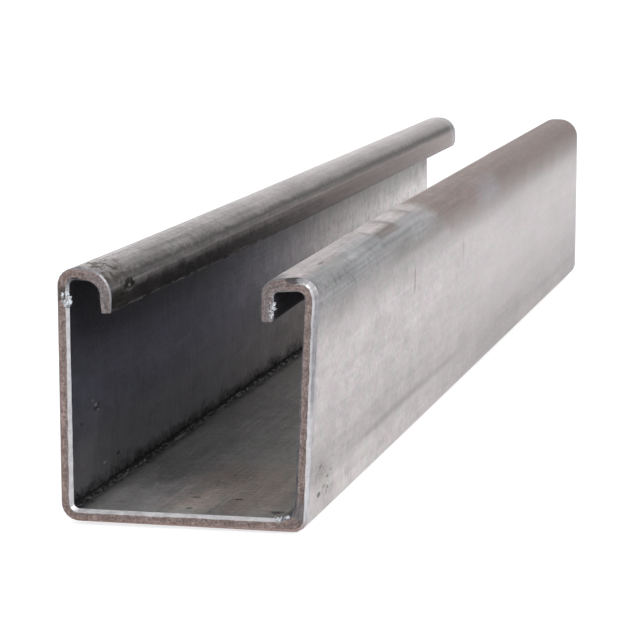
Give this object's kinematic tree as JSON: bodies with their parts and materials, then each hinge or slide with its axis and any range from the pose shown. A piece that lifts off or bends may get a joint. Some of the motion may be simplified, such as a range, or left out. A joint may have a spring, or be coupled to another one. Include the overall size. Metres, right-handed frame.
{
  "type": "strut channel",
  "caption": "Straight piece of square roll-formed steel channel with a plain solid back and an open slot between two in-turned lips, sawn square at both ends.",
  "frame": {"origin": "middle of the web's underside, halfway along the channel", "axes": "+Y along the channel, +Z out of the open slot, X across the two walls"},
  "size_m": [0.0412, 0.3048, 0.0413],
  "materials": {
    "mill_steel": "bare mill-finish steel strip with roll marks, dull grey oxide patches, small dents and dark dirt in the bends; bright deburred edges at the sawn ends"
  },
  "bodies": {
    "root": {"strut_channel": "mill_steel"}
  },
  "joints": []
}
